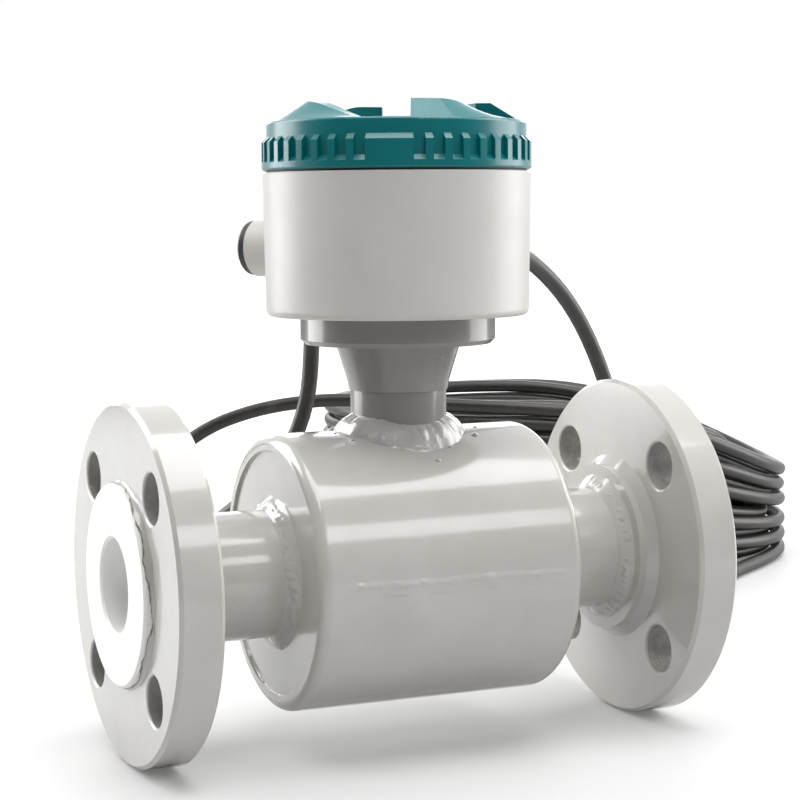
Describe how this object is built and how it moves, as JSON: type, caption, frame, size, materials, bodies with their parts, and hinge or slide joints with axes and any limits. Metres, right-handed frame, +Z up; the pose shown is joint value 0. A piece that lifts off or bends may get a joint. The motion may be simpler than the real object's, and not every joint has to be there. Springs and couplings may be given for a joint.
{
  "type": "electromagnetic flow meter",
  "caption": "Flanged electromagnetic flow meter with a round terminal head, a teal screw cover and two coiled free cables.",
  "frame": {"origin": "middle of the measuring bore", "axes": "+X along the bore, +Z up through the neck, +Y away from the observer's side towards the coiled cables"},
  "size_m": [0.4515, 0.4833, 0.2127],
  "materials": {
    "painted_steel": "satin",
    "ptfe": "satin",
    "magnet_iron": "matte",
    "copper_winding": "satin",
    "stainless": "satin",
    "insulator": "satin",
    "black_rubber": "matte",
    "head_enamel": "satin",
    "cover_enamel": "satin",
    "circuit_board": "satin",
    "nickel_brass": "satin",
    "terminal_plastic": "satin",
    "black_plastic": "satin",
    "black_cable": "matte"
  },
  "bodies": {
    "meter": {"flange_left": "painted_steel", "flange_right": "painted_steel", "measuring_pipe": "painted_steel", "liner": "ptfe", "liner_flare_left": "ptfe", "liner_flare_right": "ptfe", "coil_housing": "painted_steel", "end_plate_left": "painted_steel", "end_plate_right": "painted_steel", "pole_core_upper": "magnet_iron", "pole_core_lower": "magnet_iron", "field_coil_upper": "copper_winding", "field_coil_lower": "copper_winding", "return_band": "magnet_iron", "electrode_front": "stainless", "electrode_rear": "stainless", "electrode_bush_front": "insulator", "electrode_bush_rear": "insulator", "electrode_nuts": "stainless", "neck_tube": "painted_steel", "collar_adapter": "painted_steel", "head_gasket": "black_rubber", "terminal_head": "head_enamel", "head_screws": "stainless", "terminal_board": "circuit_board", "board_standoffs": "nickel_brass", "board_screws": "stainless", "signal_terminals": "terminal_plastic", "coil_terminals": "terminal_plastic", "wire_bundle": "black_cable", "gland_body_right": "black_plastic", "gland_body_left": "black_plastic", "gland_seal_right": "black_rubber", "gland_seal_left": "black_rubber", "gland_nut_right": "black_plastic", "gland_nut_left": "black_plastic", "inner_cable_right": "black_cable", "inner_cable_left": "black_cable", "blanking_plug": "black_plastic", "cable_coil_right": "black_cable", "cable_coil_left": "black_cable", "cable_right": "black_cable", "cable_left": "black_cable", "cable_tail_right": "black_cable", "cable_tail_left": "black_cable", "cable_end_right": "black_cable", "cable_end_left": "black_cable"},
    "seal": {"cover_seal": "black_rubber"},
    "cover": {"cover": "cover_enamel"}
  },
  "joints": [
    {"name": "cover_lift", "type": "slide", "parent": "meter", "child": "seal", "axis": [0, 0, 1], "range_m": [0, 0.008]},
    {"name": "cover_turn", "type": "hinge", "parent": "seal", "child": "cover", "pos_m": [0, 0, 0.1315], "axis": [0, 0, 1], "range_deg": [0, 1440]}
  ],
  "couplings": [
    {"joint": "cover_lift", "follows": "cover_turn", "m_per_rad": 0.00031831}
  ]
}
